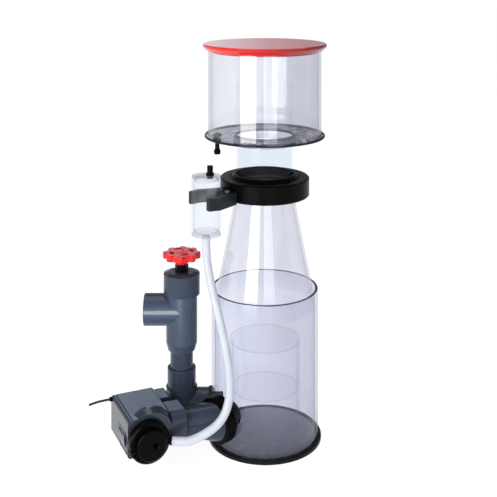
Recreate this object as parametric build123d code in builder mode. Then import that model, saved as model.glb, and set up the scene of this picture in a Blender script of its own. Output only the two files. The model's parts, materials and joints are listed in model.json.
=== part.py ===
"""Protein skimmer for a marine aquarium sump: an acrylic reaction body with a cone, a lift-off
collection cup, a needle-wheel pump with a venturi intake, an air silencer with its hose, and an outlet
riser with a gate valve.
Millimetres, +Z up. The origin is the centre of the base plate's underside, on the axis of the body tube.
-Y is the front, and -X is the side that carries the pump and the riser."""

import os
from math import atan2, cos, degrees, hypot, radians, sin

from build123d import *

os.makedirs("parts", exist_ok=True)

# ---------------------------------------------------------------- driving dimensions
GAP = 0.05  # clearance of bonded and running fits

BASE_R = 79.5
BASE_T = 5.0
BODY_R = 75.0
BODY_WALL = 4.0
BODY_TOP = 210.0
CONE_FOOT_Z = 190.0
CONE_TOP_R = 41.6
CONE_TOP_Z = 352.0
CONE_WALL = 3.0

COLLAR_R = 63.0
COLLAR_Z0 = 340.0
COLLAR_Z1 = 366.0
LOCK_R = 48.0
LOCK_Z1 = 370.5
LOCK_NOTCHES = 24

NECK_R = 40.5
NECK_WALL = 3.0
NECK_Z0 = 353.0
NECK_Z1 = 498.0
FLOOR_Z0 = 422.5
FLOOR_Z1 = 426.0
FLOOR_R = 85.0
CUP_R = 80.0
CUP_WALL = 3.0
CUP_TOP = 544.0
LID_TOP = 554.0
LID_R = 88.0

DRUM_R = 49.5
DRUM_WALL = 3.0
DRUM_Z0 = 26.0
DRUM_Z1 = 135.0
LOWER_PLATE_Z = 67.0
PLATE_T = 3.0

PIPE_R = 16.0  # 32 mm metric pressure pipe
PIPE_BORE = 13.4
SOCKET_R = 22.0
RISER_X = -117.4
OUTLET_Z = 44.0
RISER_TOP = 149.9

TEE_Z0 = 121.5
TEE_TOP = 228.0
TEE_PORT_Z = 177.4
TEE_PORT_REACH = 52.8
BONNET_R = 25.6
BONNET_Z0 = 200.5
BONNET_Z1 = 231.5
GLAND_TOP = 241.5
STEM_R = 5.0
STEM_Z0 = 183.0
GATE_BORE = 18.0
GATE_H = 30.0
GATE_Z0 = 193.0
WHEEL_R = 22.5
WHEEL_Z0 = 250.0
WHEEL_T = 9.0
WHEEL_LOBES = 8

SILENCER_X = -80.0
SILENCER_Y = -57.0
SILENCER_R = 20.0
SILENCER_Z0 = 299.5
SILENCER_Z1 = 380.0
BRACKET_Z0 = 338.5
BRACKET_Z1 = 355.0
PRONG_END = 110.0  # reach of the fork's tips from the column's axis
LUG_T = 7.0
SCREW_R = 2.0
SCREW_REACH = 69.5
HOSE_R = 5.6
HOSE_BORE = 4.0

PUMP_X = -152.0
PUMP_Y = -113.0
PUMP_Z = 50.0
PUMP_YAW = 24.0
HOUSING_W = 60.0
HOUSING_H = 49.0
HOUSING_X = 3.0
HOUSING_Y = 4.5
VOLUTE_R = 29.0
CHAMBER_R = 24.0
VOLUTE_BACK = -42.0
VOLUTE_FRONT = -14.0
RIM_FRONT = -3.0
INTAKE_R = 27.0
HOOD_R = 32.0
HOOD_X = 6.0
HOOD_Y = 4.5
HOOD_BACK = -18.0
HOOD_SLOPE_Z = -13.0
HOOD_SLOPE = 20.0
IMPELLER_PLANE = -28.0
MOTOR_BACK = -84.0
SHOULDER_END = -54.5
PORT_REACH = 54.0
PORT_R = 25.0
PORT_NECK_R = 19.0
FLANGE_H = 44.0
FLANGE_LIFT = 3.0
WELL_R = 13.0
SHAFT_R = 2.5
INLET_YAW = 42.0
NUT_R = 30.0
NUT_NEAR = 78.5
NUT_FAR = 94.0

# ---------------------------------------------------------------- local frames
AXIS = Plane.XY
ACROSS = (cos(radians(PUMP_YAW)), sin(radians(PUMP_YAW)), 0)
AHEAD = (sin(radians(PUMP_YAW)), -cos(radians(PUMP_YAW)), 0)
PUMP = Plane(origin=(PUMP_X, PUMP_Y, PUMP_Z), x_dir=ACROSS, z_dir=AHEAD)
FEET = Plane(origin=(PUMP_X, PUMP_Y, 0), x_dir=ACROSS, z_dir=(0, 0, 1))
OUTLET = Plane(origin=(0, 0, OUTLET_Z), x_dir=(0, 1, 0), z_dir=(-1, 0, 0))
INWARD = (cos(radians(INLET_YAW)), sin(radians(INLET_YAW)), 0)
INLET = Plane(
    origin=(0, 0, PUMP_Z),
    x_dir=(-INWARD[1], INWARD[0], 0),
    z_dir=(-INWARD[0], -INWARD[1], 0),
)
RISER = Plane(origin=(RISER_X, 0, 0), x_dir=(1, 0, 0), z_dir=(0, 0, 1))
TEE_PORT = Plane(origin=(RISER_X, 0, TEE_PORT_Z), x_dir=(0, 1, 0), z_dir=(-1, 0, 0))
SILENCER = Plane(origin=(SILENCER_X, SILENCER_Y, 0), x_dir=(1, 0, 0), z_dir=(0, 0, 1))
BRACKET = Plane(origin=(0, 0, COLLAR_Z0), x_dir=(SILENCER_X, SILENCER_Y, 0), z_dir=(0, 0, 1))
DRAIN = Plane(origin=(-66.5, -18, FLOOR_Z0), x_dir=(1, 0, 0), z_dir=(0, 0, 1))
SILENCER_REACH = hypot(SILENCER_X, SILENCER_Y)


def at(plane, x, y, z):
    """A point of a local frame, given in the part's frame."""
    return plane.from_local_coords(Vector(x, y, z))


def tube(plane, start, end, outer, inner):
    """A plain tube or disc between two offsets of a plane."""
    with BuildPart() as made:
        with BuildSketch(plane.offset(start)):
            Circle(outer)
            if inner > 0:
                Circle(inner, mode=Mode.SUBTRACT)
        extrude(amount=end - start)
    return made


def oring(plane, height, centre, section):
    """A rubber ring seal around a plane's normal."""
    with BuildPart() as made:
        with BuildSketch(Plane(origin=at(plane, 0, 0, height), x_dir=plane.x_dir, z_dir=plane.y_dir)):
            with Locations((centre, 0)):
                Circle(section)
        revolve(axis=Axis(plane.origin, plane.z_dir))
    return made


# ---------------------------------------------------------------- body
with BuildPart() as base_plate:
    with BuildSketch(AXIS):
        Circle(BASE_R)
    extrude(amount=BASE_T)
    chamfer(base_plate.edges().group_by(Axis.Z)[-1], 1.0)
    with BuildSketch(AXIS.offset(BASE_T - 1.5)):
        Circle(BODY_R + GAP)
        Circle(BODY_R - BODY_WALL - GAP, mode=Mode.SUBTRACT)
    extrude(amount=1.5, mode=Mode.SUBTRACT)

with BuildPart() as body_tube:
    with BuildSketch(AXIS.offset(BASE_T - 1.5)):
        Circle(BODY_R)
        Circle(BODY_R - BODY_WALL, mode=Mode.SUBTRACT)
    extrude(amount=BODY_TOP - BASE_T + 1.5)
    fillet(body_tube.edges().group_by(Axis.Z)[-1], 1.2)
    for wall_opening in (OUTLET, INLET):
        with BuildSketch(wall_opening.offset(BODY_R - 15)):
            Circle(PIPE_R + GAP)
        extrude(amount=25, mode=Mode.SUBTRACT)

cone_foot_r = BODY_R - BODY_WALL - GAP
with BuildPart() as reaction_cone:
    with BuildSketch(Plane.XZ):
        with BuildLine():
            Polyline(
                (cone_foot_r, CONE_FOOT_Z - 6),
                (cone_foot_r, CONE_FOOT_Z),
                (CONE_TOP_R, COLLAR_Z0 - 1),
                (CONE_TOP_R, CONE_TOP_Z),
                (CONE_TOP_R - CONE_WALL, CONE_TOP_Z),
                (CONE_TOP_R - CONE_WALL, COLLAR_Z0 - 1),
                (cone_foot_r - CONE_WALL, CONE_FOOT_Z),
                (cone_foot_r - CONE_WALL, CONE_FOOT_Z - 6),
                close=True,
            )
        make_face()
    revolve(axis=Axis.Z)

# ---------------------------------------------------------------- bubble diffuser inside the body
with BuildPart() as diffuser_drum:
    with BuildSketch(AXIS.offset(DRUM_Z0)):
        Circle(DRUM_R)
        Circle(DRUM_R - DRUM_WALL, mode=Mode.SUBTRACT)
    extrude(amount=DRUM_Z1 - DRUM_Z0)
    with BuildSketch(INLET.offset(DRUM_R - 15)):
        Circle(PIPE_R + 0.3)
    extrude(amount=25, mode=Mode.SUBTRACT)


def perforated_plate(z, radius):
    """A diffuser disc with rings of small round holes."""
    with BuildPart() as plate:
        with BuildSketch(AXIS.offset(z)):
            Circle(radius)
            for hole_ring in range(1, 5):
                with PolarLocations(hole_ring * 9.5, hole_ring * 7):
                    Circle(1.7, mode=Mode.SUBTRACT)
        extrude(amount=PLATE_T)
    return plate


lower_bubble_plate = perforated_plate(LOWER_PLATE_Z, DRUM_R - DRUM_WALL - GAP)
upper_bubble_plate = perforated_plate(DRUM_Z1, DRUM_R)

with BuildPart() as drum_legs:
    with BuildSketch(AXIS.offset(BASE_T)):
        with PolarLocations(DRUM_R - 2.5, 3, start_angle=20):
            Rectangle(8, 10)
    extrude(amount=DRUM_Z0 - BASE_T)

# ---------------------------------------------------------------- neck collar, lock ring and bracket
with BuildPart() as neck_collar:
    with BuildSketch(Plane.XZ):
        with BuildLine():
            Polyline(
                (CONE_TOP_R + GAP, COLLAR_Z0),
                (COLLAR_R - 1.5, COLLAR_Z0),
                (COLLAR_R, COLLAR_Z0 + 1.5),
                (COLLAR_R, COLLAR_Z1 - 1.5),
                (COLLAR_R - 1.5, COLLAR_Z1),
                (LOCK_R + 1.5, COLLAR_Z1),
                (LOCK_R + 1.5, COLLAR_Z1 - 3),
                (NECK_R + 2, COLLAR_Z1 - 3),
                (NECK_R + 2, CONE_TOP_Z + 0.5),
                (CONE_TOP_R + GAP, CONE_TOP_Z + 0.5),
                close=True,
            )
        make_face()
    revolve(axis=Axis.Z)
    with BuildSketch(BRACKET):
        with Locations((66, 0)):
            Rectangle(18, 30)
    extrude(amount=LUG_T)
    with BuildSketch(BRACKET):
        with Locations((SCREW_REACH, -8), (SCREW_REACH, 8)):
            Circle(SCREW_R + GAP)
    extrude(amount=LUG_T, mode=Mode.SUBTRACT)

FORK = BRACKET.offset(BRACKET_Z0 - COLLAR_Z0)
with BuildPart() as silencer_bracket:
    with BuildSketch(FORK):
        with BuildLine():
            Polyline(
                (COLLAR_R - 14, -14),
                (SILENCER_REACH - 3.5, -29.5),
                (PRONG_END, -26),
                (PRONG_END, 26),
                (SILENCER_REACH - 3.5, 29.5),
                (COLLAR_R - 14, 14),
                close=True,
            )
        make_face()
        Circle(COLLAR_R + GAP, mode=Mode.SUBTRACT)
        with Locations((SILENCER_REACH, 0)):
            Circle(SILENCER_R + GAP, mode=Mode.SUBTRACT)
        with Locations((SILENCER_REACH + 20, 0)):
            Rectangle(40, 37, mode=Mode.SUBTRACT)
    extrude(amount=BRACKET_Z1 - BRACKET_Z0)
    with BuildSketch(FORK):
        with Locations((66, 0)):
            Rectangle(18.2, 30.2)
    extrude(amount=COLLAR_Z0 + LUG_T + GAP - BRACKET_Z0, mode=Mode.SUBTRACT)
    with BuildSketch(FORK):
        with Locations((SCREW_REACH, -8), (SCREW_REACH, 8)):
            Circle(SCREW_R + GAP)
    extrude(amount=BRACKET_Z1 - BRACKET_Z0, mode=Mode.SUBTRACT)

SCREW_TOP = BRACKET_Z1 - COLLAR_Z0
with BuildPart() as bracket_screws:
    with BuildSketch(BRACKET.offset(0.5)):
        with Locations((SCREW_REACH, -8), (SCREW_REACH, 8)):
            Circle(SCREW_R)
    extrude(amount=SCREW_TOP)
    with BuildSketch(BRACKET.offset(SCREW_TOP + GAP)):
        with Locations((SCREW_REACH, -8), (SCREW_REACH, 8)):
            Circle(3.6)
    extrude(amount=2.4, taper=12)
    with BuildSketch(BRACKET.offset(SCREW_TOP + GAP + 1.2)):
        with Locations((SCREW_REACH, -8), (SCREW_REACH, 8)):
            Rectangle(3.4, 0.8)
            Rectangle(0.8, 3.4)
    extrude(amount=2, mode=Mode.SUBTRACT)

with BuildPart() as lock_ring:
    with BuildSketch(Plane.XZ):
        with BuildLine():
            Polyline(
                (NECK_R + 0.4, COLLAR_Z1 - 6),
                (NECK_R + 1.9, COLLAR_Z1 - 6),
                (NECK_R + 1.9, COLLAR_Z1 - 3 + GAP),
                (LOCK_R, COLLAR_Z1 - 3 + GAP),
                (LOCK_R, COLLAR_Z1),
                (NECK_R + 3, LOCK_Z1),
                (NECK_R + 0.4, LOCK_Z1),
                close=True,
            )
        make_face()
    revolve(axis=Axis.Z)
    with BuildSketch(AXIS.offset(COLLAR_Z1 - 1)):
        with PolarLocations(LOCK_R + 0.6, LOCK_NOTCHES):
            Circle(2.2)
    extrude(amount=LOCK_Z1 - COLLAR_Z1 + 2, mode=Mode.SUBTRACT)

neck_oring = oring(AXIS, COLLAR_Z1 - 8.5, NECK_R + 1, 0.95)

# ---------------------------------------------------------------- collection cup and lid
cup_neck = tube(AXIS, NECK_Z0, NECK_Z1, NECK_R, NECK_R - NECK_WALL)
neck_flange = tube(AXIS, FLOOR_Z0 - 10, FLOOR_Z0 - GAP, NECK_R + 3.5, NECK_R + GAP)

with BuildPart() as cup_floor:
    with BuildSketch(AXIS.offset(FLOOR_Z0)):
        Circle(FLOOR_R)
    extrude(amount=FLOOR_Z1 - FLOOR_Z0)
    chamfer(cup_floor.edges(), 1.0)
    with BuildSketch(AXIS.offset(FLOOR_Z0)):
        Circle(NECK_R + GAP)
    extrude(amount=FLOOR_Z1 - FLOOR_Z0, mode=Mode.SUBTRACT)
    with BuildSketch(DRAIN):
        Circle(3.5 + GAP)
    extrude(amount=FLOOR_Z1 - FLOOR_Z0, mode=Mode.SUBTRACT)

cup_wall = tube(AXIS, FLOOR_Z1, CUP_TOP, CUP_R, CUP_R - CUP_WALL)

with BuildPart() as drain_barb:
    with BuildSketch(Plane(origin=DRAIN.origin, x_dir=(1, 0, 0), z_dir=(0, -1, 0))):
        with BuildLine():
            Polyline(
                (2, -21.5),
                (4.2, -21.5),
                (4.9, -17.5),
                (3.1, -13.5),
                (3.1, -4),
                (6, -4),
                (6, -GAP),
                (3.5, -GAP),
                (3.5, 8),
                (2, 8),
                close=True,
            )
        make_face()
    revolve(axis=Axis(DRAIN.origin, (0, 0, 1)))

with BuildPart() as drain_nut:
    with BuildSketch(DRAIN.offset(FLOOR_Z1 - FLOOR_Z0)):
        RegularPolygon(6.5, 6)
        Circle(3.5 + GAP, mode=Mode.SUBTRACT)
    extrude(amount=3)

skirt_r = CUP_R - CUP_WALL - 0.5
with BuildPart() as lid:
    with BuildSketch(Plane.XZ):
        with BuildLine():
            Polyline(
                (0, CUP_TOP + 5.5),
                (skirt_r - 4, CUP_TOP + 5.5),
                (skirt_r - 4, CUP_TOP - 2),
                (skirt_r, CUP_TOP - 2),
                (skirt_r, CUP_TOP + GAP),
                (CUP_R + 2, CUP_TOP + GAP),
                (LID_R - 0.6, CUP_TOP + 5.5),
                (LID_R, CUP_TOP + 7),
                (LID_R - 0.6, LID_TOP - 1.2),
                (LID_R - 2, LID_TOP),
                (0, LID_TOP),
                close=True,
            )
        make_face()
    revolve(axis=Axis.Z)

# ---------------------------------------------------------------- outlet: bulkhead, elbow and riser
outlet_spigot = tube(OUTLET, 59, 100, PIPE_R, PIPE_BORE)


def saddle_gasket(plane, radius, far):
    """A rubber washer shaped to the curve of the body tube on its inner side."""
    with BuildPart() as made:
        with BuildSketch(plane.offset(BODY_R - 8)):
            Circle(radius)
            Circle(PIPE_R + GAP, mode=Mode.SUBTRACT)
        extrude(amount=far - BODY_R + 8)
        with BuildSketch(AXIS):
            Circle(BODY_R + GAP)
        extrude(amount=BODY_TOP, mode=Mode.SUBTRACT)
    return made


outlet_gasket = saddle_gasket(OUTLET, SOCKET_R + 1.5, 79.0)
inlet_gasket = saddle_gasket(INLET, 23.5, 77.0)

with BuildPart() as bulkhead_back_nuts:
    for side in (OUTLET, INLET):
        with BuildSketch(side.offset(61)):
            RegularPolygon(22.5, 8)
            Circle(PIPE_R + GAP, mode=Mode.SUBTRACT)
        extrude(amount=5.5)

with BuildPart() as outlet_elbow:
    with BuildSketch(OUTLET.offset(79.1)):
        Circle(SOCKET_R)
    extrude(amount=-RISER_X - 79.1)
    with Locations((RISER_X, 0, OUTLET_Z)):
        Sphere(SOCKET_R)
    with BuildSketch(RISER.offset(OUTLET_Z)):
        Circle(SOCKET_R)
    extrude(amount=26)
    with BuildSketch(RISER.offset(OUTLET_Z + 26)):
        Circle(SOCKET_R - 2)
    extrude(amount=27)
    fillet(outlet_elbow.edges().group_by(Axis.Z)[-1], 1.0)
    with BuildSketch(RISER.offset(OUTLET_Z)):
        Circle(PIPE_BORE)
    extrude(amount=60, mode=Mode.SUBTRACT)
    with BuildSketch(RISER.offset(75)):
        Circle(PIPE_R + GAP)
    extrude(amount=30, mode=Mode.SUBTRACT)
    with Locations((RISER_X, 0, OUTLET_Z)):
        Sphere(PIPE_BORE, mode=Mode.SUBTRACT)
    with BuildSketch(OUTLET.offset(79)):
        Circle(PIPE_BORE)
    extrude(amount=-RISER_X - 79, mode=Mode.SUBTRACT)
    with BuildSketch(OUTLET.offset(79)):
        Circle(PIPE_R + GAP)
    extrude(amount=21.1, mode=Mode.SUBTRACT)

with BuildPart() as riser_pipe:
    with BuildSketch(RISER.offset(75.1)):
        Circle(PIPE_R)
        Circle(PIPE_BORE, mode=Mode.SUBTRACT)
    extrude(amount=RISER_TOP - 75.1)
    with BuildSketch(RISER.offset(135)):
        Circle(PIPE_R + 1)
        Circle(PIPE_R - 1.2, mode=Mode.SUBTRACT)
    extrude(amount=1.4, mode=Mode.SUBTRACT)

swivel_oring = oring(RISER, 135.7, PIPE_R - 0.6, 0.55)

# ---------------------------------------------------------------- swivelling tee with its gate valve
with BuildPart() as valve_tee:
    with BuildSketch(Plane(origin=(RISER_X, 0, 0), x_dir=(1, 0, 0), z_dir=(0, -1, 0))):
        with BuildLine():
            Polyline(
                (0, TEE_Z0),
                (PIPE_R + 2.6, TEE_Z0),
                (PIPE_R + 3.4, TEE_Z0 + 1),
                (SOCKET_R, TEE_Z0 + 11),
                (SOCKET_R, TEE_TOP),
                (0, TEE_TOP),
                close=True,
            )
        make_face()
    revolve(axis=Axis((RISER_X, 0, 0), (0, 0, 1)))
    with BuildSketch(TEE_PORT):
        Circle(SOCKET_R)
    extrude(amount=TEE_PORT_REACH)
    chamfer(valve_tee.edges().group_by(Axis.X)[0], 0.8)
    with BuildSketch(RISER.offset(TEE_Z0 - 1)):
        Circle(PIPE_R + GAP)
    extrude(amount=RISER_TOP + 0.1 - TEE_Z0 + 1, mode=Mode.SUBTRACT)
    with BuildSketch(RISER.offset(RISER_TOP)):
        Circle(PIPE_BORE)
    extrude(amount=20, mode=Mode.SUBTRACT)
    with BuildSketch(TEE_PORT):
        Circle(PIPE_BORE)
    extrude(amount=TEE_PORT_REACH, mode=Mode.SUBTRACT)
    with BuildSketch(TEE_PORT.offset(TEE_PORT_REACH - 26)):
        Circle(PIPE_R + GAP)
    extrude(amount=27, mode=Mode.SUBTRACT)
    with BuildSketch(RISER.offset(GATE_Z0 - GATE_H)):
        Circle(GATE_BORE)
        with Locations((GATE_BORE, 0)):
            Rectangle(3.0, 3.0, mode=Mode.SUBTRACT)
    extrude(amount=80, mode=Mode.SUBTRACT)

with BuildPart() as valve_bonnet:
    with BuildSketch(RISER.offset(BONNET_Z0)):
        Circle(BONNET_R)
    extrude(amount=TEE_TOP + 1.0 - BONNET_Z0)
    with BuildSketch(RISER.offset(TEE_TOP + 1.0)):
        RegularPolygon(BONNET_R - 0.4, 10)
    with BuildSketch(RISER.offset(BONNET_Z1)):
        RegularPolygon(18.5, 10)
    loft(ruled=True)
    with BuildSketch(RISER.offset(BONNET_Z0)):
        Circle(SOCKET_R + GAP)
    extrude(amount=TEE_TOP + GAP - BONNET_Z0, mode=Mode.SUBTRACT)
    with BuildSketch(RISER.offset(TEE_TOP)):
        Circle(9 + GAP)
    extrude(amount=20, mode=Mode.SUBTRACT)

with BuildPart() as valve_gland:
    with BuildSketch(RISER.offset(TEE_TOP + 0.2)):
        Circle(9)
    extrude(amount=BONNET_Z1 - TEE_TOP)
    with BuildSketch(RISER.offset(BONNET_Z1 + GAP)):
        RegularPolygon(9.5, 8)
    extrude(amount=GLAND_TOP - BONNET_Z1)
    with BuildSketch(RISER.offset(TEE_TOP)):
        Circle(STEM_R + GAP)
    extrude(amount=20, mode=Mode.SUBTRACT)

with BuildPart() as valve_stem:
    with BuildSketch(RISER.offset(STEM_Z0)):
        Circle(STEM_R)
    extrude(amount=246 - STEM_Z0)
    with BuildSketch(RISER.offset(TEE_TOP - 4)):
        Circle(STEM_R + 2)
    extrude(amount=4)
    with BuildSketch(RISER.offset(246)):
        Rectangle(6.4, 6.4)
    extrude(amount=9)
    with BuildSketch(RISER.offset(244)):
        Circle(1.55)
    extrude(amount=20, mode=Mode.SUBTRACT)
    with BuildSketch(RISER.offset(232)):
        Circle(STEM_R + 1)
        Circle(STEM_R - 0.8, mode=Mode.SUBTRACT)
    extrude(amount=1, mode=Mode.SUBTRACT)

stem_oring = oring(RISER, 232.5, STEM_R - 0.38, 0.4)

with BuildPart() as valve_gate:
    with BuildSketch(RISER.offset(GATE_Z0)):
        Circle(GATE_BORE - 0.08)
        with Locations((GATE_BORE, 0)):
            Rectangle(3.8, 3.8, mode=Mode.SUBTRACT)
    extrude(amount=GATE_H)
    with BuildSketch(RISER.offset(GATE_Z0)):
        Circle(GATE_BORE - 3.5)
    extrude(amount=GATE_H - 10, mode=Mode.SUBTRACT)
    with BuildSketch(RISER.offset(GATE_Z0)):
        Circle(STEM_R + GAP)
    extrude(amount=GATE_H, mode=Mode.SUBTRACT)

with BuildPart() as handwheel:
    with BuildSketch(RISER.offset(WHEEL_Z0)):
        Circle(WHEEL_R)
        with PolarLocations(WHEEL_R - 1.2, WHEEL_LOBES):
            Circle(5.4)
        with PolarLocations(14.6, WHEEL_LOBES // 2, start_angle=22.5):
            Ellipse(3.6, 6.6, mode=Mode.SUBTRACT)
    extrude(amount=WHEEL_T)
    wheel_rim = handwheel.edges().filter_by(GeomType.CIRCLE).filter_by(Plane.XY)
    fillet(wheel_rim, 1.4)
    with BuildSketch(RISER.offset(242.6)):
        Circle(8.5)
    extrude(amount=WHEEL_Z0 + WHEEL_T + 1.0 - 242.6)
    with BuildSketch(RISER.offset(243.4)):
        Circle(8.6)
    with BuildSketch(RISER.offset(WHEEL_Z0 + 0.4)):
        Circle(19.5)
    loft(ruled=True)
    with BuildSketch(RISER.offset(WHEEL_Z0 - 8)):
        with PolarLocations(14.6, WHEEL_LOBES // 2, start_angle=22.5):
            Ellipse(3.6, 6.6)
    extrude(amount=8.5, mode=Mode.SUBTRACT)
    with BuildSketch(RISER.offset(242)):
        Circle(STEM_R + 0.4)
    extrude(amount=4.2, mode=Mode.SUBTRACT)
    with BuildSketch(RISER.offset(246)):
        Rectangle(6.5, 6.5)
    extrude(amount=9.2, mode=Mode.SUBTRACT)
    with BuildSketch(RISER.offset(250)):
        Circle(1.6)
    extrude(amount=20, mode=Mode.SUBTRACT)

with BuildPart() as wheel_screw:
    with BuildSketch(RISER.offset(WHEEL_Z0 + WHEEL_T + 1.0 + GAP)):
        Circle(3.4)
    extrude(amount=2.2, taper=10)
    with BuildSketch(RISER.offset(247)):
        Circle(1.5)
    extrude(amount=WHEEL_Z0 + WHEEL_T + 2.0 - 247)
    with BuildSketch(RISER.offset(WHEEL_Z0 + WHEEL_T + 2.2)):
        Rectangle(3.4, 0.8)
        Rectangle(0.8, 3.4)
    extrude(amount=3, mode=Mode.SUBTRACT)

# ---------------------------------------------------------------- pump inlet: bulkhead, union nut and adapter
with BuildPart() as inlet_bulkhead:
    with BuildSketch(INLET.offset(59)):
        Circle(PIPE_R)
    extrude(amount=23)
    with BuildSketch(INLET.offset(77 + GAP)):
        Circle(24)
    extrude(amount=5)
    with BuildSketch(INLET.offset(58)):
        Circle(PIPE_BORE)
    extrude(amount=27, mode=Mode.SUBTRACT)

with BuildPart() as union_nut:
    with BuildSketch(INLET.offset(NUT_NEAR)):
        Circle(NUT_R)
        with PolarLocations(NUT_R + 0.6, 36):
            Circle(1.5, mode=Mode.SUBTRACT)
    extrude(amount=NUT_FAR - NUT_NEAR)
    with BuildSketch(INLET.offset(NUT_NEAR)):
        Circle(24.1)
    extrude(amount=88.15 - NUT_NEAR, mode=Mode.SUBTRACT)
    with BuildSketch(INLET.offset(NUT_NEAR)):
        Circle(18.1)
    extrude(amount=NUT_FAR - NUT_NEAR, mode=Mode.SUBTRACT)

union_oring = oring(INLET, 82.5, 19.0, 0.45)

PUMP_PORT = Plane(origin=at(PUMP, PORT_REACH, 0, IMPELLER_PLANE), x_dir=AHEAD, z_dir=ACROSS)
with BuildPart() as discharge_adapter:
    with BuildSketch(PUMP_PORT.offset(GAP)):
        Circle(PORT_NECK_R)
    with BuildSketch(INLET.offset(NUT_FAR + 0.4)):
        Circle(PORT_R)
    loft(ruled=True)
    with BuildSketch(INLET.offset(83)):
        Circle(18)
    extrude(amount=NUT_FAR + 1 - 83)
    with BuildSketch(INLET.offset(83)):
        Circle(24)
    extrude(amount=5)
    with BuildSketch(PUMP_PORT.offset(-1)):
        Circle(PIPE_BORE)
    with BuildSketch(INLET.offset(NUT_FAR)):
        Circle(PIPE_BORE)
    loft(ruled=True, mode=Mode.SUBTRACT)
    with BuildSketch(INLET.offset(80)):
        Circle(PIPE_BORE)
    extrude(amount=NUT_FAR + 0.5 - 80, mode=Mode.SUBTRACT)

# ---------------------------------------------------------------- pump
SIDE_FACE = HOUSING_X - HOUSING_W / 2
SIDE = Plane(origin=at(PUMP, SIDE_FACE, 0, 0), x_dir=AHEAD, z_dir=(-ACROSS[0], -ACROSS[1], 0))


def side_groove():
    """A shallow frame-shaped groove on the housing's outer side face."""
    with BuildPart() as made:
        with BuildSketch(SIDE.offset(-1.4)):
            with Locations((-22, -5)):
                RectangleRounded(34, 24, 4)
                RectangleRounded(29, 19, 2.5, mode=Mode.SUBTRACT)
        extrude(amount=3)
    return made


def seam_groove():
    """A straight groove along the housing's upper edge, next to the side face."""
    with BuildPart() as made:
        with BuildSketch(PUMP.offset(MOTOR_BACK - 1)):
            with Locations((SIDE_FACE + 6, HOUSING_Y + HOUSING_H / 2)):
                Rectangle(2.2, 3.2)
        extrude(amount=RIM_FRONT - MOTOR_BACK + 2)
    return made


with BuildPart() as pump_volute:
    with BuildSketch(PUMP.offset(VOLUTE_BACK)):
        Circle(VOLUTE_R)
        with Locations((HOUSING_X, HOUSING_Y)):
            RectangleRounded(HOUSING_W, HOUSING_H, 4)
    extrude(amount=VOLUTE_FRONT - VOLUTE_BACK)
    with BuildSketch(PUMP.offset(VOLUTE_FRONT)):
        with Locations((SIDE_FACE + 9, HOUSING_Y)):
            RectangleRounded(18, HOUSING_H, 4)
    extrude(amount=RIM_FRONT - VOLUTE_FRONT)
    with BuildSketch(PUMP.offset(HOOD_BACK)):
        with Locations((HOOD_X, HOOD_Y)):
            Circle(HOOD_R)
    extrude(amount=HOOD_SLOPE_Z - HOOD_BACK)
    with BuildSketch(PUMP.offset(HOOD_SLOPE_Z)):
        with Locations((HOOD_X, HOOD_Y)):
            Circle(HOOD_R)
    extrude(amount=RIM_FRONT - HOOD_SLOPE_Z, taper=HOOD_SLOPE)
    with BuildSketch(PUMP_PORT):
        with Locations((0, -FLANGE_LIFT)):
            Rectangle(27.9, FLANGE_H - 4)
    extrude(amount=-PORT_REACH + 14)
    with BuildSketch(PUMP_PORT):
        with Locations((0, -FLANGE_LIFT)):
            RectangleRounded(2 * PORT_R, FLANGE_H, 13)
    extrude(amount=-PORT_REACH + 33.5)
    with BuildSketch(PUMP.offset(VOLUTE_FRONT)):
        Circle(INTAKE_R + GAP)
    extrude(amount=20, mode=Mode.SUBTRACT)
    with BuildSketch(PUMP.offset(VOLUTE_BACK + 3)):
        Circle(CHAMBER_R)
    extrude(amount=VOLUTE_FRONT - 3 - VOLUTE_BACK - 3, mode=Mode.SUBTRACT)
    add(side_groove().part, mode=Mode.SUBTRACT)
    add(seam_groove().part, mode=Mode.SUBTRACT)
    with BuildSketch(PUMP_PORT):
        Circle(10.5)
    extrude(amount=-PORT_REACH + 8, mode=Mode.SUBTRACT)
    with BuildSketch(PUMP.offset(VOLUTE_BACK)):
        Circle(WELL_R)
    extrude(amount=3, mode=Mode.SUBTRACT)
    with BuildSketch(PUMP.offset(VOLUTE_FRONT - 3)):
        Circle(13)
        Circle(7, mode=Mode.SUBTRACT)
        for arm_angle in (90, 210, 330):
            with Locations(Rotation(0, 0, arm_angle)):
                with Locations((10, 0)):
                    Rectangle(8, 2.4, mode=Mode.SUBTRACT)
    extrude(amount=3, mode=Mode.SUBTRACT)
    with BuildSketch(PUMP.offset(VOLUTE_FRONT - 3)):
        Circle(4.5 + GAP)
    extrude(amount=3, mode=Mode.SUBTRACT)

with BuildPart() as motor_block:
    with BuildSketch(PUMP.offset(MOTOR_BACK)):
        with Locations((HOUSING_X, HOUSING_Y)):
            RectangleRounded(HOUSING_W, HOUSING_H, 4)
    extrude(amount=VOLUTE_BACK - GAP - MOTOR_BACK)
    chamfer(motor_block.faces().sort_by(Axis(PUMP.origin, PUMP.z_dir))[0].edges(), 2.5)
    with BuildSketch(PUMP.offset(MOTOR_BACK + 1)):
        with Locations((30, HOUSING_Y - 2)):
            RectangleRounded(40, HOUSING_H - 4, 4)
    extrude(amount=SHOULDER_END - MOTOR_BACK - 1)
    with BuildSketch(PUMP.offset(MOTOR_BACK + 2)):
        Circle(WELL_R)
    extrude(amount=60, mode=Mode.SUBTRACT)
    add(seam_groove().part, mode=Mode.SUBTRACT)

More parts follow.
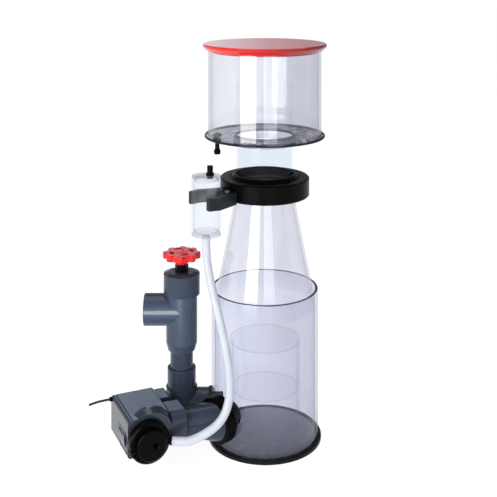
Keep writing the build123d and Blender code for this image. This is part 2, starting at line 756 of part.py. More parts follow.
bush_rear = Plane(origin=at(PUMP, 0, 0, MOTOR_BACK + 2 + GAP), x_dir=ACROSS, z_dir=AHEAD)
bush_front = Plane(origin=at(PUMP, 0, 0, VOLUTE_FRONT - 3), x_dir=ACROSS, z_dir=AHEAD)
with BuildPart() as shaft_bushes:
    with BuildSketch(bush_rear):
        Circle(WELL_R - GAP)
        Circle(SHAFT_R + GAP, mode=Mode.SUBTRACT)
    extrude(amount=4)
    with BuildSketch(bush_front):
        Circle(4.5)
        Circle(SHAFT_R + GAP, mode=Mode.SUBTRACT)
    extrude(amount=3)

rotor_magnet = tube(PUMP, MOTOR_BACK + 7, VOLUTE_BACK - 2, 12, SHAFT_R)
rotor_shaft = tube(PUMP, MOTOR_BACK + 2.2, VOLUTE_FRONT - 0.2, SHAFT_R, 0)

with BuildPart() as needle_impeller:
    with BuildSketch(PUMP.offset(VOLUTE_BACK + 5)):
        Circle(22.5)
        Circle(SHAFT_R, mode=Mode.SUBTRACT)
    extrude(amount=2.5)
    with BuildSketch(PUMP.offset(VOLUTE_BACK + 5)):
        Circle(6)
        Circle(SHAFT_R, mode=Mode.SUBTRACT)
    extrude(amount=17)
    with BuildSketch(PUMP.offset(VOLUTE_BACK + 7.5)):
        for pin_ring in range(3):
            with PolarLocations(11.5 + pin_ring * 4.6, 10 + pin_ring * 5):
                Circle(1.0)
    extrude(amount=12)

BARB_YAW = -8.0
BARB_AIM = (cos(radians(BARB_YAW)), sin(radians(BARB_YAW)), 0)
BARB = Plane(origin=(-126.1, -104.7, 46), x_dir=(-BARB_AIM[1], BARB_AIM[0], 0), z_dir=BARB_AIM)

with BuildPart() as venturi_intake:
    with BuildSketch(PUMP.offset(VOLUTE_FRONT + GAP)):
        Circle(INTAKE_R)
    extrude(amount=22)
    chamfer(venturi_intake.faces().sort_by(Axis(PUMP.origin, PUMP.z_dir))[-1].edges(), 2.0)
    with BuildSketch(PUMP.offset(VOLUTE_FRONT + GAP + 22)):
        Circle(20)
    extrude(amount=8)
    chamfer(venturi_intake.faces().sort_by(Axis(PUMP.origin, PUMP.z_dir))[-1].edges(), 1.2)
    with BuildSketch(PUMP.offset(VOLUTE_FRONT)):
        Circle(13)
    extrude(amount=28, mode=Mode.SUBTRACT)
    with BuildSketch(PUMP.offset(-6)):
        with PolarLocations(23.2, 9, start_angle=192, angular_range=156):
            SlotOverall(5.4, 2.4)
    extrude(amount=16, mode=Mode.SUBTRACT)
    with BuildSketch(PUMP.offset(-13)):
        Circle(25)
    extrude(amount=9, mode=Mode.SUBTRACT)
    with BuildSketch(PUMP.offset(VOLUTE_FRONT + GAP + 30)):
        with Locations((5, -1)):
            Circle(4.4)
    extrude(amount=-1.6, taper=45, mode=Mode.SUBTRACT)
    with BuildSketch(PUMP):
        with Locations((5, -1)):
            Circle(3)
    extrude(amount=30, mode=Mode.SUBTRACT)
    with BuildSketch(BARB.offset(-15)):
        Circle(3.9 + GAP)
    extrude(amount=30, mode=Mode.SUBTRACT)

with BuildPart() as air_barb:
    with BuildSketch(BARB.offset(-9)):
        Circle(3.9)
        Circle(2.2, mode=Mode.SUBTRACT)
    extrude(amount=26)
    with BuildSketch(BARB.offset(1.6)):
        Circle(5.5)
        Circle(2.2, mode=Mode.SUBTRACT)
    extrude(amount=2.6)

FOOT_TOP = PUMP_Z + HOUSING_Y - HOUSING_H / 2 - GAP
with BuildPart() as pump_feet:
    for foot_x in (10, 28):
        for foot_back in (57, 76):
            with BuildSketch(FEET):
                with Locations((foot_x, foot_back)):
                    Circle(6.5)
            extrude(amount=3)
            with BuildSketch(FEET.offset(3)):
                with Locations((foot_x, foot_back)):
                    Circle(4.5)
            extrude(amount=FOOT_TOP - 3)

GLAND = Plane(
    origin=at(PUMP, SIDE_FACE - GAP, 25.5, MOTOR_BACK + 6),
    x_dir=AHEAD,
    z_dir=(-ACROSS[0], -ACROSS[1], 0),
)
CABLE_R = 1.5
cable_gland = tube(GLAND, 0, 3.0, 3.0, CABLE_R + GAP)
with BuildPart() as power_cable:
    with BuildLine() as cable_run:
        FilletPolyline(
            at(GLAND, 0, 0, 0.1),
            at(GLAND, 0, 0, 9),
            at(GLAND, -2, -1.2, 19),
            at(GLAND, -6, -5, 30),
            radius=14,
        )
    with BuildSketch(Plane(origin=at(GLAND, 0, 0, 0.1), z_dir=GLAND.z_dir)):
        Circle(CABLE_R)
    sweep(path=cable_run.wires()[0])

# ---------------------------------------------------------------- silencer and air hose
silencer_tube = tube(SILENCER, SILENCER_Z0 + 2, SILENCER_Z1 - 2, SILENCER_R, SILENCER_R - 2.5)

with BuildPart() as silencer_top:
    with BuildSketch(SILENCER.offset(SILENCER_Z1 - 2)):
        Circle(SILENCER_R)
    extrude(amount=2)
    with BuildSketch(SILENCER.offset(SILENCER_Z1 - 6)):
        Circle(SILENCER_R - 2.5 - GAP)
        Circle(SILENCER_R - 5, mode=Mode.SUBTRACT)
    extrude(amount=4)
    with BuildSketch(SILENCER.offset(SILENCER_Z1 - 6)):
        with Locations((5, 1)):
            Circle(4 + GAP)
    extrude(amount=6, mode=Mode.SUBTRACT)

with BuildPart() as silencer_nipple:
    with BuildSketch(SILENCER.offset(SILENCER_Z1 - 4)):
        with Locations((5, 1)):
            Circle(4)
    extrude(amount=17)
    with BuildSketch(SILENCER.offset(SILENCER_Z1 + GAP)):
        with Locations((5, 1)):
            Circle(5.6)
    extrude(amount=3)
    with BuildSketch(SILENCER.offset(SILENCER_Z1 - 5)):
        with Locations((5, 1)):
            Circle(2.4)
    extrude(amount=20, mode=Mode.SUBTRACT)

with BuildPart() as silencer_bottom:
    with BuildSketch(SILENCER.offset(SILENCER_Z0)):
        Circle(SILENCER_R)
    extrude(amount=2)
    with BuildSketch(SILENCER.offset(SILENCER_Z0 + 2)):
        Circle(SILENCER_R - 2.5 - GAP)
        Circle(SILENCER_R - 5, mode=Mode.SUBTRACT)
    extrude(amount=4)
    with BuildSketch(SILENCER.offset(SILENCER_Z0 - 14)):
        Circle(3.9)
    extrude(amount=15)
    with BuildSketch(SILENCER.offset(SILENCER_Z0 - 15)):
        Circle(2.2)
    extrude(amount=20, mode=Mode.SUBTRACT)

HOSE_START = Plane(origin=at(BARB, 0, 0, 4.4), z_dir=BARB.z_dir)
with BuildPart() as air_hose:
    with BuildLine() as hose_run:
        FilletPolyline(
            at(BARB, 0, 0, 4.4),
            at(BARB, 0, 0, 32),
            (-52, -99, 76),
            (-45, -90, 112),
            (-61, -75, 190),
            (SILENCER_X, SILENCER_Y, 258),
            (SILENCER_X, SILENCER_Y, SILENCER_Z0 - 1),
            radius=28,
        )
    with BuildSketch(HOSE_START):
        Circle(HOSE_R)
    sweep(path=hose_run.wires()[0])
    with BuildSketch(HOSE_START):
        Circle(HOSE_BORE)
    sweep(path=hose_run.wires()[0], mode=Mode.SUBTRACT)

# ---------------------------------------------------------------- export
pieces = dict(
    base_plate=base_plate,
    body_tube=body_tube,
    reaction_cone=reaction_cone,
    diffuser_drum=diffuser_drum,
    lower_bubble_plate=lower_bubble_plate,
    upper_bubble_plate=upper_bubble_plate,
    drum_legs=drum_legs,
    neck_collar=neck_collar,
    silencer_bracket=silencer_bracket,
    bracket_screws=bracket_screws,
    lock_ring=lock_ring,
    neck_oring=neck_oring,
    cup_neck=cup_neck,
    neck_flange=neck_flange,
    cup_floor=cup_floor,
    cup_wall=cup_wall,
    drain_barb=drain_barb,
    drain_nut=drain_nut,
    lid=lid,
    outlet_spigot=outlet_spigot,
    outlet_gasket=outlet_gasket,
    bulkhead_back_nuts=bulkhead_back_nuts,
    outlet_elbow=outlet_elbow,
    riser_pipe=riser_pipe,
    swivel_oring=swivel_oring,
    valve_tee=valve_tee,
    valve_bonnet=valve_bonnet,
    valve_gland=valve_gland,
    valve_stem=valve_stem,
    stem_oring=stem_oring,
    valve_gate=valve_gate,
    handwheel=handwheel,
    wheel_screw=wheel_screw,
    inlet_gasket=inlet_gasket,
    inlet_bulkhead=inlet_bulkhead,
    union_nut=union_nut,
    union_oring=union_oring,
    discharge_adapter=discharge_adapter,
    pump_volute=pump_volute,
    motor_block=motor_block,
    shaft_bushes=shaft_bushes,
    rotor_magnet=rotor_magnet,
    rotor_shaft=rotor_shaft,
    needle_impeller=needle_impeller,
    venturi_intake=venturi_intake,
    air_barb=air_barb,
    pump_feet=pump_feet,
    cable_gland=cable_gland,
    power_cable=power_cable,
    silencer_tube=silencer_tube,
    silencer_top=silencer_top,
    silencer_nipple=silencer_nipple,
    silencer_bottom=silencer_bottom,
    air_hose=air_hose,
)
for name, piece in pieces.items():
    piece.part.label = name
    export_step(piece.part, f"parts/{name}.step")
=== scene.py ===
"""Looks for the protein skimmer: materials, a smooth air hose, a pale studio and the camera."""

import json
import math

import bpy
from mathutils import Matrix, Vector


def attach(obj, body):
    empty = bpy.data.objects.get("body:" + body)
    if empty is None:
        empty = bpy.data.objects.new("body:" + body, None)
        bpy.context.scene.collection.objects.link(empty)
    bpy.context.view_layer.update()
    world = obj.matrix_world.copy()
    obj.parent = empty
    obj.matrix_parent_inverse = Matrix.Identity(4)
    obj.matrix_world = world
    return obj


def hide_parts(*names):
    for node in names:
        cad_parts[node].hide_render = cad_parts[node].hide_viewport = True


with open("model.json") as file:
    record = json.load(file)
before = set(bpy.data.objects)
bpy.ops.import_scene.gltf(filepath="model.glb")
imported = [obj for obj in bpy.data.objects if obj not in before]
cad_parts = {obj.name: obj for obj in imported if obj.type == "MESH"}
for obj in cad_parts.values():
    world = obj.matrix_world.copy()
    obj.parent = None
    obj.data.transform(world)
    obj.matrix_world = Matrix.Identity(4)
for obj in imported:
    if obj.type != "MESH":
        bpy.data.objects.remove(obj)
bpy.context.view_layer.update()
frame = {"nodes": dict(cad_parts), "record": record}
nodes = frame["nodes"]

# Lengths are in metres.
LID_EDGE = 0.085  # how wide, to the left of the axis, the change in the painted light on upward faces reaches
HOSE_R = 0.0056
HOSE_BORE = 0.004
FLOOR_REACH = 12
FLOOR_GLOW = 1.12
FLOOR_GLOW_SEEN = 1.22
FLOOR_GLOW_SHARE = 0.74
SKY_SEEN = 1.05


# ---------------------------------------------------------------- node helpers
class Tree:
    """A short way to write the node tree of a material or a world."""

    def __init__(self, owner, output="Material"):
        self.owner = owner
        owner.use_nodes = True
        self.nodes = owner.node_tree.nodes
        self.links = owner.node_tree.links
        self.nodes.clear()
        self.output = self.nodes.new("ShaderNodeOutput" + output)

    def add(self, kind, inputs=None, **settings):
        node = self.nodes.new("ShaderNode" + kind)
        for key, value in settings.items():
            setattr(node, key, value)
        for key, value in (inputs or {}).items():
            if isinstance(value, bpy.types.NodeSocket):
                self.links.new(value, node.inputs[key])
            else:
                node.inputs[key].default_value = value
        return node

    def math(self, operation, first, second=0.0, clamp=False):
        return self.add("Math", {0: first, 1: second}, operation=operation, use_clamp=clamp).outputs[0]

    def mix(self, factor, first, second):
        node = self.add("Mix", {"Factor": factor}, data_type="RGBA")
        for index, value in ((6, first), (7, second)):
            if isinstance(value, bpy.types.NodeSocket):
                self.links.new(value, node.inputs[index])
            else:
                node.inputs[index].default_value = value
        return node.outputs[2]

    def ramp(self, factor, low, high, out_low, out_high):
        return self.add(
            "MapRange",
            {"Value": factor, "From Min": low, "From Max": high, "To Min": out_low, "To Max": out_high},
        ).outputs[0]

    def noise(self, scale, detail=3.0, roughness=0.5, stretch=(1, 1, 1)):
        where = self.add("TexCoord").outputs["Object"]
        if stretch != (1, 1, 1):
            where = self.add("Mapping", {"Vector": where, "Scale": stretch}).outputs[0]
        return self.add(
            "TexNoise", {"Vector": where, "Scale": scale, "Detail": detail, "Roughness": roughness}
        ).outputs["Fac"]

    def place(self):
        """The X, Y and Z of the point in the part's frame."""
        return self.add("SeparateXYZ", {0: self.add("TexCoord").outputs["Object"]}).outputs

    def normal_z(self, kind="True Normal"):
        return self.add("SeparateXYZ", {0: self.add("NewGeometry").outputs[kind]}).outputs["Z"]

    def radius(self, place):
        """The distance from the part's upright axis."""
        across = self.math("MULTIPLY", place["X"], place["X"])
        along = self.math("MULTIPLY", place["Y"], place["Y"])
        return self.math("SQRT", self.math("ADD", across, along))

    def facing(self):
        """0 face on and 1 edge on."""
        return self.add("LayerWeight", {"Blend": 0.5}).outputs["Facing"]

    def finish(self, shader):
        self.links.new(shader, self.output.inputs["Surface"])
        return self.owner


def material_tree(name):
    return Tree(bpy.data.materials.new(name))


def rgba(red, green, blue):
    return (red, green, blue, 1.0)


def scaled(colour, factor):
    return tuple(min(1.0, channel * factor) for channel in colour[:3]) + (1.0,)


def moulded(
    name,
    colour,
    rough,
    grain=900.0,
    depth=0.00002,
    coat=0.0,
    wear=0.25,
    dust=0.06,
    specular=0.4,
    top=None,
    far=None,
    glancing=False,
):
    """Injection-moulded plastic: fine grain, faint flow clouds, lighter worn edges and uneven gloss.
    top holds painted light on the faces that look up, at the -X and the +X side, a painted sheen seen only
    at a low angle when glancing is set. far is the painted shade of the other faces at the +X side."""
    tree = material_tree(name)
    clouds = tree.noise(14.0, 4.0, 0.55)
    speck = tree.noise(260.0, 2.0, 0.6)
    tone = tree.mix(tree.ramp(clouds, 0.3, 0.7, 0.0, 1.0), scaled(colour, 0.86), scaled(colour, 1.16))
    # painted shade: sideways faces turn to the far colour towards +X
    if far:
        sideways = tree.ramp(tree.math("ABSOLUTE", tree.normal_z("Normal")), 0.85, 0.97, 1.0, 0.0)
        share = tree.ramp(tree.place()["X"], -0.05, 0.085, 0.0, 1.0)
        tone = tree.mix(tree.math("MULTIPLY", share, sideways), tone, far)
    # painted light: upward faces are lighter, and lighter towards -X; with glancing it is a painted sheen
    # seen only at a low angle
    if top:
        painted_top_light = tree.mix(tree.ramp(tree.place()["X"], -LID_EDGE, 0.0, 0.0, 1.0), top[0], top[1])
        share = tree.ramp(tree.normal_z(), 0.985, 0.998, 0.0, 1.0)
        if glancing:
            share = tree.math("MULTIPLY", share, tree.ramp(tree.facing(), 0.5, 0.88, 0.0, 1.0))
        tone = tree.mix(share, tone, painted_top_light)
    tone = tree.mix(tree.ramp(speck, 0.62, 0.8, 0.0, dust), tone, rgba(0.55, 0.55, 0.57))
    edge = tree.add("NewGeometry").outputs["Pointiness"]
    worn = tree.ramp(edge, 0.52, 0.62, 0.0, wear)
    tone = tree.mix(worn, tone, scaled(colour, 1.9))
    gloss = tree.ramp(tree.noise(38.0, 5.0, 0.6), 0.25, 0.75, rough * 0.8, rough * 1.25)
    bump = tree.add(
        "Bump",
        {"Strength": 0.5, "Distance": depth, "Height": tree.noise(grain, 2.0)},
    )
    shader = tree.add(
        "BsdfPrincipled",
        {
            "Base Color": tone,
            "Roughness": gloss,
            "IOR": 1.5,
            "Specular IOR Level": specular,
            "Coat Weight": coat,
            "Coat Roughness": 0.05,
            "Normal": bump.outputs[0],
        },
    )
    return tree.finish(shader.outputs[0])


def acrylic(
    name,
    clear,
    rim,
    rim_faces=0.0,
    haze=0.03,
    mirror=1.0,
    film=0.03,
    shade=0.0,
    change=None,
    sides=None,
):
    """Clear cast acrylic: see-through face on, darker and more mirrored at a grazing angle, finely scuffed.
    rim_faces darkens the sawn faces that look up or down, and sides is (strength, radius) for the ones
    that look sideways outside a radius. shade is painted shade that makes the +X side a little darker.
    change is (height, colour, finish, fade): the sheet's colour below that height, the share of its
    mirror, rim and film that is left there, and the length of the change."""
    tree = material_tree(name)
    grazing = tree.facing()
    dark = tree.math("POWER", grazing, 5.0)
    kept = 1.0
    if change:
        height, low_colour, low_finish, fade = change
        above = tree.ramp(tree.place()["Z"], height - fade, height, 0.0, 1.0)
        clear = tree.mix(above, low_colour, clear)
        kept = tree.ramp(above, 0.0, 1.0, low_finish, 1.0)
        dark = tree.math("MULTIPLY", dark, kept)
    tint = tree.mix(dark, clear, rim)
    if shade > 0:
        # painted shade: the +X side, away from the main lamp, is tinted darker
        painted_shade_share = tree.ramp(tree.place()["X"], -0.045, 0.045, 0.0, shade)
        tint = tree.mix(painted_shade_share, tint, rgba(0.55, 0.54, 0.62))
    if sides:
        strength, least_radius = sides
        level = tree.math("ABSOLUTE", tree.normal_z())
        outer = tree.math("GREATER_THAN", tree.radius(tree.place()), least_radius)
        edge = tree.math("MULTIPLY", tree.ramp(level, 0.2, 0.6, strength, 0.0), outer)
        tint = tree.mix(edge, tint, rgba(0.3, 0.3, 0.36))
    if rim_faces > 0:
        upward = tree.math("ABSOLUTE", tree.normal_z())
        flat = tree.ramp(upward, 0.4, 0.7, 0.0, rim_faces)
        tint = tree.mix(flat, tint, rgba(0.01, 0.01, 0.014))
    scuff = tree.ramp(tree.noise(90.0, 6.0, 0.7, (1, 1, 0.25)), 0.55, 0.75, 0.0, 1.0)
    mirror_share = tree.math("POWER", grazing, 4.0)
    mirror_share = tree.math("MULTIPLY_ADD", mirror_share, 0.4 * mirror, False)
    mirror_share.node.inputs[2].default_value = 0.045 * mirror
    mirror_share = tree.math("MULTIPLY", mirror_share, kept)
    see = tree.add("BsdfTransparent", {"Color": tint})
    gloss_rough = tree.ramp(scuff, 0.0, 1.0, haze, haze + 0.05)
    shine = tree.add("BsdfGlossy", {"Color": rgba(1, 1, 1), "Roughness": gloss_rough})
    body = tree.add("MixShader", {0: mirror_share, 1: see.outputs[0], 2: shine.outputs[0]})
    milk = tree.add("BsdfDiffuse", {"Color": rgba(0.75, 0.76, 0.84)})
    film_share = tree.math("MULTIPLY", tree.math("ADD", scuff, 0.5), tree.math("MULTIPLY", kept, film))
    return tree.finish(
        tree.add("MixShader", {0: film_share, 1: body.outputs[0], 2: milk.outputs[0]}).outputs[0]
    )


def dark_base(name):
    """Dark sheet plastic: grey-blue inside the tube, almost black at the rim, with painted shade making it
    darker towards the front.
    """
    tree = material_tree(name)
    place = tree.place()
    clouds = tree.noise(22.0, 5.0, 0.6)
    middle = tree.mix(tree.ramp(clouds, 0.3, 0.7, 0.0, 1.0), rgba(0.29, 0.31, 0.41), rgba(0.36, 0.385, 0.5))
    # painted shade: darker towards the front
    middle = tree.mix(tree.ramp(place["Y"], -0.075, 0.06, 1.0, 0.0), middle, rgba(0.045, 0.05, 0.072))
    outside = tree.ramp(tree.radius(place), 0.0715, 0.0755, 0.0, 1.0)
    tone = tree.mix(outside, middle, rgba(0.006, 0.006, 0.008))
    gloss = tree.ramp(tree.noise(38.0, 5.0, 0.6), 0.25, 0.75, 0.2, 0.34)
    shader = tree.add(
        "BsdfPrincipled", {"Base Color": tone, "Roughness": gloss, "Specular IOR Level": 0.12}
    )
    return tree.finish(shader.outputs[0])


def smoked_floor(name):
    """Smoked sheet: see-through grey with lighter patches that are painted reflections and also vary its
    gloss, painted light on the -X side, black on its turned edge.
    """
    tree = material_tree(name)
    upward = tree.math("ABSOLUTE", tree.normal_z())
    # lighter patches in the tint are painted reflections; the same patches also vary the gloss
    gleam_patches = tree.ramp(tree.noise(85.0, 8.0, 0.8, (1, 0.6, 1)), 0.49, 0.58, 0.0, 1.0)
    tint = tree.mix(gleam_patches, rgba(0.31, 0.31, 0.36), rgba(0.8, 0.81, 0.87))
    place = tree.place()
    turned = tree.ramp(tree.radius(place), 0.0825, 0.0842, 0.0, 0.9)
    # painted light: the -X side, towards the main lamp, is lighter
    tint = tree.mix(tree.ramp(place["X"], -0.08, 0.01, 0.9, 0.0), tint, rgba(0.68, 0.7, 0.75))
    edge = tree.math("MAXIMUM", tree.ramp(upward, 0.3, 0.9, 1.0, 0.0), turned)
    tint = tree.mix(edge, tint, rgba(0.004, 0.004, 0.005))
    see = tree.add("BsdfTransparent", {"Color": tint})
    gloss = tree.ramp(gleam_patches, 0.0, 1.0, 0.05, 0.16)
    shine = tree.add("BsdfGlossy", {"Color": rgba(1, 1, 1), "Roughness": gloss})
    dulled = tree.ramp(gleam_patches, 0.0, 1.0, 0.7, 1.3)
    share = tree.math("MULTIPLY", tree.ramp(upward, 0.3, 0.9, 0.02, 0.14), dulled)
    return tree.finish(
        tree.add("MixShader", {0: share, 1: see.outputs[0], 2: shine.outputs[0]}).outputs[0]
    )


def rubber(name, colour, rough=0.62):
    """Dull seal rubber with a fine grain."""
    tree = material_tree(name)
    clouds = tree.noise(60.0, 4.0)
    tone = tree.mix(clouds, scaled(colour, 0.7), scaled(colour, 1.7))
    bump = tree.add("Bump", {"Strength": 0.6, "Distance": 0.00008, "Height": tree.noise(700.0, 3.0)})
    shader = tree.add(
        "BsdfPrincipled",
        {
            "Base Color": tone,
            "Roughness": tree.ramp(clouds, 0.2, 0.8, rough * 0.85, rough * 1.1),
            "Normal": bump.outputs[0],
        },
    )
    return tree.finish(shader.outputs[0])


def silicone(name):
    """Milky air hose: soft, slightly see-through and glossy."""
    tree = material_tree(name)
    clouds = tree.noise(45.0, 3.0)
    tone = tree.mix(clouds, rgba(0.56, 0.6, 0.7), rgba(0.68, 0.71, 0.81))
    bump = tree.add("Bump", {"Strength": 0.25, "Distance": 0.0001, "Height": tree.noise(220.0, 2.0)})
    shader = tree.add(
        "BsdfPrincipled",
        {
            "Base Color": tone,
            "Roughness": tree.ramp(clouds, 0.2, 0.8, 0.18, 0.3),
            "Subsurface Weight": 0.35,
            "Subsurface Radius": (0.006, 0.006, 0.007),
            "Subsurface Scale": 1.0,
            "Normal": bump.outputs[0],
        },
    )
    see = tree.add("BsdfTransparent", {"Color": rgba(0.95, 0.95, 0.98)})
    return tree.finish(tree.add("MixShader", {0: 0.18, 1: shader.outputs[0], 2: see.outputs[0]}).outputs[0])


def steel(name):
    """Turned steel with fine rings."""
    tree = material_tree(name)
    lines = tree.noise(420.0, 3.0, 0.6, (1, 0.08, 1))
    shader = tree.add(
        "BsdfPrincipled",
        {
            "Base Color": tree.mix(lines, rgba(0.58, 0.59, 0.61), rgba(0.8, 0.81, 0.83)),
            "Metallic": 1.0,
            "Roughness": tree.ramp(lines, 0.2, 0.8, 0.2, 0.38),
        },
    )
    return tree.finish(shader.outputs[0])


# ---------------------------------------------------------------- materials
PVC = rgba(0.026, 0.036, 0.058)
BLACK = rgba(0.001, 0.001, 0.0013)
RED = rgba(0.6, 0.011, 0.012)
looks = {
    "grey_pvc": moulded("grey_pvc", PVC, 0.24, coat=0.1, specular=0.22),
    # the pump's upward faces carry painted light from overhead
    "pump_grey": moulded(
        "pump_grey", scaled(PVC, 0.75), 0.22, grain=500.0, depth=0.00004, coat=0.26, specular=0.31,
        top=(rgba(0.15, 0.195, 0.275), rgba(0.15, 0.195, 0.275)),
    ),
    "black_plastic": moulded("black_plastic", BLACK, 0.3, wear=0.4, dust=0.003, specular=0.06),
    # upward faces carry a painted pinkish sheen, seen at a low angle
    "red_plastic": moulded(
        "red_plastic", RED, 0.14, grain=300.0, coat=0.25, wear=0.1, dust=0.01, specular=0.3,
        top=(rgba(0.85, 0.22, 0.27), rgba(0.85, 0.22, 0.27)), glancing=True,
    ),
    "dark_base": dark_base("dark_base"),
    "white_plastic": moulded("white_plastic", rgba(0.8, 0.8, 0.78), 0.35),
    "clear_acrylic": acrylic(
        "clear_acrylic", rgba(0.935, 0.94, 0.967), rgba(0.66, 0.66, 0.72), shade=0.08,
        change=(0.224, rgba(0.992, 0.992, 0.995), 0.0, 0.036),
    ),
    "smoked_acrylic": smoked_floor("smoked_acrylic"),
    "black_rubber": rubber("black_rubber", rgba(0.006, 0.006, 0.007)),
    "hose_silicone": silicone("hose_silicone"),
    "ceramic_shaft": moulded("ceramic_shaft", rgba(0.85, 0.83, 0.78), 0.12),
    "ferrite": moulded("ferrite", rgba(0.05, 0.05, 0.055), 0.3),
    "steel_screw": steel("steel_screw"),
}
# the lid's upward faces carry a painted sheen, lighter towards -X, and its sideways faces painted shade
# towards +X
lid_look = moulded(
    "lid_red", rgba(0.62, 0.02, 0.02), 0.12, grain=300.0, coat=0.35, wear=0.1, dust=0.01, specular=0.3,
    top=(rgba(0.95, 0.62, 0.74), rgba(0.84, 0.14, 0.25)), far=rgba(0.16, 0.002, 0.003),
    glancing=True,
)
faint = acrylic("diffuser_plate", rgba(0.993, 0.993, 0.996), rgba(0.8, 0.8, 0.85), film=0.004, mirror=0.12)
plate_look = acrylic(
    "bubble_plate",
    rgba(0.993, 0.993, 0.996),
    rgba(0.8, 0.8, 0.85),
    film=0.004,
    mirror=0.12,
    sides=(0.16, 0.0435),
)
neck_look = acrylic(
    "neck_tube", rgba(0.995, 0.996, 0.998), rgba(0.93, 0.94, 0.96), film=0.004, mirror=0.1,
    change=(0.424, rgba(0.93, 0.952, 0.982), 1.0, 0.008),
)
silencer_look = acrylic(
    "silencer_wall", rgba(0.95, 0.965, 0.98), rgba(0.7, 0.72, 0.78), film=0.02, mirror=0.6
)
own_looks = {
    "body_tube": acrylic(
        "body_wall", rgba(0.915, 0.924, 0.965), rgba(0.6, 0.6, 0.67), rim_faces=0.97, shade=0.15, mirror=0.7
    ),
    "cup_wall": acrylic("cup_wall", rgba(0.955, 0.96, 0.98), rgba(0.6, 0.6, 0.67), shade=0.24, mirror=1.1),
    "lid": lid_look,
    "neck_flange": acrylic(
        "flange", rgba(0.95, 0.96, 0.98), rgba(0.35, 0.35, 0.42), rim_faces=0.4, film=0.03, mirror=0.6,
        sides=(0.2, 0.0),
    ),
    "cup_neck": neck_look,
    "diffuser_drum": faint,
    "upper_bubble_plate": plate_look,
    "lower_bubble_plate": plate_look,
    "drum_legs": faint,
    "bulkhead_back_nuts": faint,
    "silencer_tube": silencer_look,
    "silencer_top": acrylic(
        "silencer_cap", rgba(0.9, 0.91, 0.94), rgba(0.5, 0.5, 0.55), haze=0.08, film=0.12
    ),
    "silencer_bottom": acrylic(
        "silencer_foot", rgba(0.95, 0.955, 0.97), rgba(0.6, 0.6, 0.65), film=0.05
    ),
    "inlet_bulkhead": looks["black_plastic"],
    "bracket_screws": moulded("dark_screw", rgba(0.1, 0.1, 0.11), 0.3, specular=0.2),
    "wheel_screw": moulded("wheel_screw", rgba(0.25, 0.12, 0.12), 0.3, specular=0.3),
    "silencer_bracket": moulded(
        "bracket", rgba(0.009, 0.011, 0.0145), 0.3, wear=0.4, dust=0.01, specular=0.15
    ),
}
slots = {part["node"]: part["material_slot"] for part in frame["record"]["subparts"]}
for node_name, node in nodes.items():
    look = own_looks.get(node_name, looks[slots[node_name]])
    node.data.materials.clear()
    node.data.materials.append(look)


# ---------------------------------------------------------------- smooth hose
def smooth_path(points, steps=14):
    """Catmull-Rom points through the given ones."""
    padded = [points[0] * 2 - points[1]] + points + [points[-1] * 2 - points[-2]]
    path = []
    for index in range(1, len(padded) - 2):
        before, start, end, after = padded[index - 1 : index + 3]
        for step in range(steps):
            t = step / steps
            path.append(
                0.5
                * (
                    2 * start
                    + (end - before) * t
                    + (2 * before - 5 * start + 4 * end - after) * t**2
                    + (3 * start - before - 3 * end + after) * t**3
                )
            )
    path.append(points[-1])
    return path


def tube_mesh(name, points, outer, inner, sides=28):
    """A tube with a real wall and open bore along a path."""
    vertices = []
    faces = []
    tangent = (points[1] - points[0]).normalized()
    side = tangent.orthogonal().normalized()
    rings = []
    for index, point in enumerate(points):
        ahead = points[min(index + 1, len(points) - 1)]
        behind = points[max(index - 1, 0)]
        tangent = (ahead - behind).normalized()
        side = (side - tangent * side.dot(tangent)).normalized()
        up = tangent.cross(side)
        for radius in (outer, inner):
            ring = []
            for corner in range(sides):
                angle = 2 * math.pi * corner / sides
                ring.append(len(vertices))
                vertices.append(point + (side * math.cos(angle) + up * math.sin(angle)) * radius)
            rings.append(ring)
    for index in range(len(points) - 1):
        for wall in range(2):
            first, second = rings[index * 2 + wall], rings[(index + 1) * 2 + wall]
            for corner in range(sides):
                nxt = (corner + 1) % sides
                quad = (first[corner], first[nxt], second[nxt], second[corner])
                faces.append(quad if wall == 0 else quad[::-1])
    for first, second, flip in ((rings[0], rings[1], False), (rings[-2], rings[-1], True)):
        for corner in range(sides):
            nxt = (corner + 1) % sides
            quad = (first[nxt], first[corner], second[corner], second[nxt])
            faces.append(quad[::-1] if flip else quad)
    mesh = bpy.data.meshes.new(name)
    mesh.from_pydata([tuple(v) for v in vertices], [], faces)
    mesh.update()
    for face in mesh.polygons:
        face.use_smooth = True
    piece = bpy.data.objects.new(name, mesh)
    bpy.context.scene.collection.objects.link(piece)
    return piece


def millimetres(*points):
    return [Vector(point) / 1000 for point in points]


hose_points = smooth_path(
    millimetres(
        (-121.74, -105.31, 46),
        (-112, -106.68, 46),
        (-98, -107.6, 47.5),
        (-78, -105.5, 56),
        (-60, -101, 69),
        (-50, -95.5, 88),
        (-47.5, -90, 115),
        (-52, -83.5, 150),
        (-61, -75, 190),
        (-71.5, -64.5, 228),
        (-78.5, -58.2, 262),
        (-80, -57, 284),
        (-80, -57, 298.4),
    )
)
hose = tube_mesh("air_hose_smooth", hose_points, HOSE_R, HOSE_BORE)
hose.data.materials.append(looks["hose_silicone"])
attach(hose, "skimmer")
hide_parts("air_hose")


# ---------------------------------------------------------------- studio
def soft_light(name, location, target, width, height, power):
    """A rectangular lamp that lights the part but isn't seen by the camera."""
    data = bpy.data.lights.new(name, "AREA")
    data.shape = "RECTANGLE"
    data.size, data.size_y = width, height
    data.energy = power
    lamp = bpy.data.objects.new(name, data)
    lamp.location = location
    lamp.visible_camera = False
    lamp.rotation_mode = "QUATERNION"
    lamp.rotation_quaternion = (Vector(target) - Vector(location)).to_track_quat("-Z", "Y")
    bpy.context.scene.collection.objects.link(lamp)
    return lamp


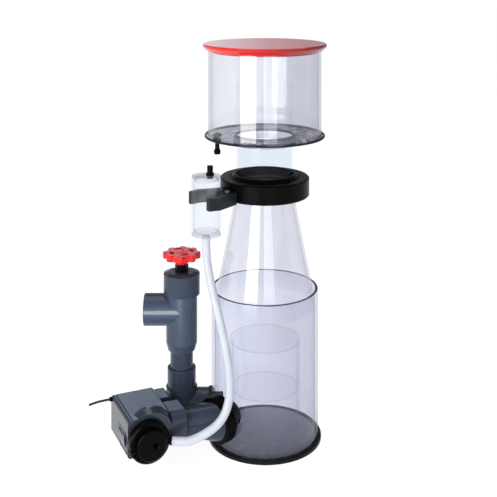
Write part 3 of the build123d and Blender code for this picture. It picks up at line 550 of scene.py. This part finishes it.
floor_mesh = bpy.data.meshes.new("studio_floor")
floor_corners = [(x * FLOOR_REACH, y * FLOOR_REACH, 0) for x, y in ((-1, -1), (1, -1), (1, 1), (-1, 1))]
floor_mesh.from_pydata(floor_corners, [], [(0, 1, 2, 3)])
floor = bpy.data.objects.new("studio_floor", floor_mesh)
bpy.context.scene.collection.objects.link(floor)
floor_tree = material_tree("studio_floor")
floor_shade = floor_tree.add(
    "BsdfPrincipled",
    {"Base Color": rgba(0.9, 0.9, 0.905), "Roughness": 0.7, "Specular IOR Level": 0.05},
)
camera_ray = floor_tree.add("LightPath").outputs["Is Camera Ray"]
seen = floor_tree.ramp(camera_ray, 0.0, 1.0, FLOOR_GLOW, FLOOR_GLOW_SEEN)
floor_glow = floor_tree.add("Emission", {"Color": rgba(1, 1, 1), "Strength": seen})
floor_mix = floor_tree.add(
    "MixShader", {0: FLOOR_GLOW_SHARE, 1: floor_shade.outputs[0], 2: floor_glow.outputs[0]}
)
floor.data.materials.append(floor_tree.finish(floor_mix.outputs[0]))


def studio_world():
    """White to the camera, softer and darker overhead for everything that the object picks up."""
    tree = Tree(bpy.data.worlds.new("studio"), "World")
    ray = tree.add("LightPath").outputs
    way = tree.add("SeparateXYZ", {0: tree.add("TexCoord").outputs["Generated"]}).outputs
    soft = tree.ramp(way["Z"], 0.0, 0.9, 0.8, 0.28)
    behind = tree.math("GREATER_THAN", way["Y"], 0.6)
    card = tree.math("MULTIPLY", tree.ramp(way["X"], -0.05, 0.06, 0.0, 1.0), behind)
    high = tree.ramp(way["Z"], 0.0, 0.5, 0.75, 0.3)
    mirrored = tree.math("MULTIPLY", high, tree.ramp(card, 0.0, 1.0, 1.0, 0.5))
    glossy = {"Factor": ray["Is Glossy Ray"], 2: soft, 3: mirrored}
    strength = tree.add("Mix", glossy, data_type="FLOAT").outputs[0]
    direct = {"Factor": ray["Is Camera Ray"], 2: strength, 3: SKY_SEEN}
    strength = tree.add("Mix", direct, data_type="FLOAT").outputs[0]
    sky = tree.add("Background", {"Color": rgba(0.99, 0.993, 1.0), "Strength": strength})
    return tree.finish(sky.outputs[0])


bpy.context.scene.world = studio_world()

middle = (-0.03, 0.0, 0.28)
soft_light("window_left", (-0.93, -1.38, 0.62), (-0.03, 0.0, 0.45), 0.98, 1.2, 21)
soft_light("window_right", (0.3, -1.64, 0.62), (0.0, 0.0, 0.45), 0.8, 1.1, 6)
strip = soft_light("low_strip", (-0.22, -0.62, 0.03), (-0.16, 0.0, 0.18), 0.3, 0.5, 8.0)
strip_target = bpy.data.collections.new("strip_target")
strip_target.objects.link(nodes["valve_tee"])
strip.light_linking.receiver_collection = strip_target
soft_light("overhead", (0.1, 0.3, 2.0), middle, 1.4, 1.4, 11)

# ---------------------------------------------------------------- camera
STATION = (-0.0229, -1.309, 0.6717)
SHIFT = -0.5805  # used at the station only, so that any other view looks straight ahead
LENS = 67.0
SENSOR = 36
camera_data = bpy.data.cameras.new("camera")
camera = bpy.data.objects.new("camera", camera_data)
bpy.context.scene.collection.objects.link(camera)
camera.location = STATION
camera.rotation_euler = (math.radians(90), 0, 0)
camera_data.sensor_width = SENSOR
camera_data.lens = LENS
driver = camera_data.driver_add("shift_y").driver
driver.type = "SCRIPTED"
height = driver.variables.new()
height.name = "height"
height.type = "TRANSFORMS"
height.targets[0].id = camera
height.targets[0].transform_type = "LOC_Z"
height.targets[0].transform_space = "WORLD_SPACE"
driver.expression = f"{SHIFT} if abs(height - {STATION[2]}) < 0.0002 else 0.0"
bpy.context.scene.camera = camera
bpy.context.scene.view_settings.view_transform = "Standard"
bpy.context.scene.cycles.transparent_max_bounces = 48
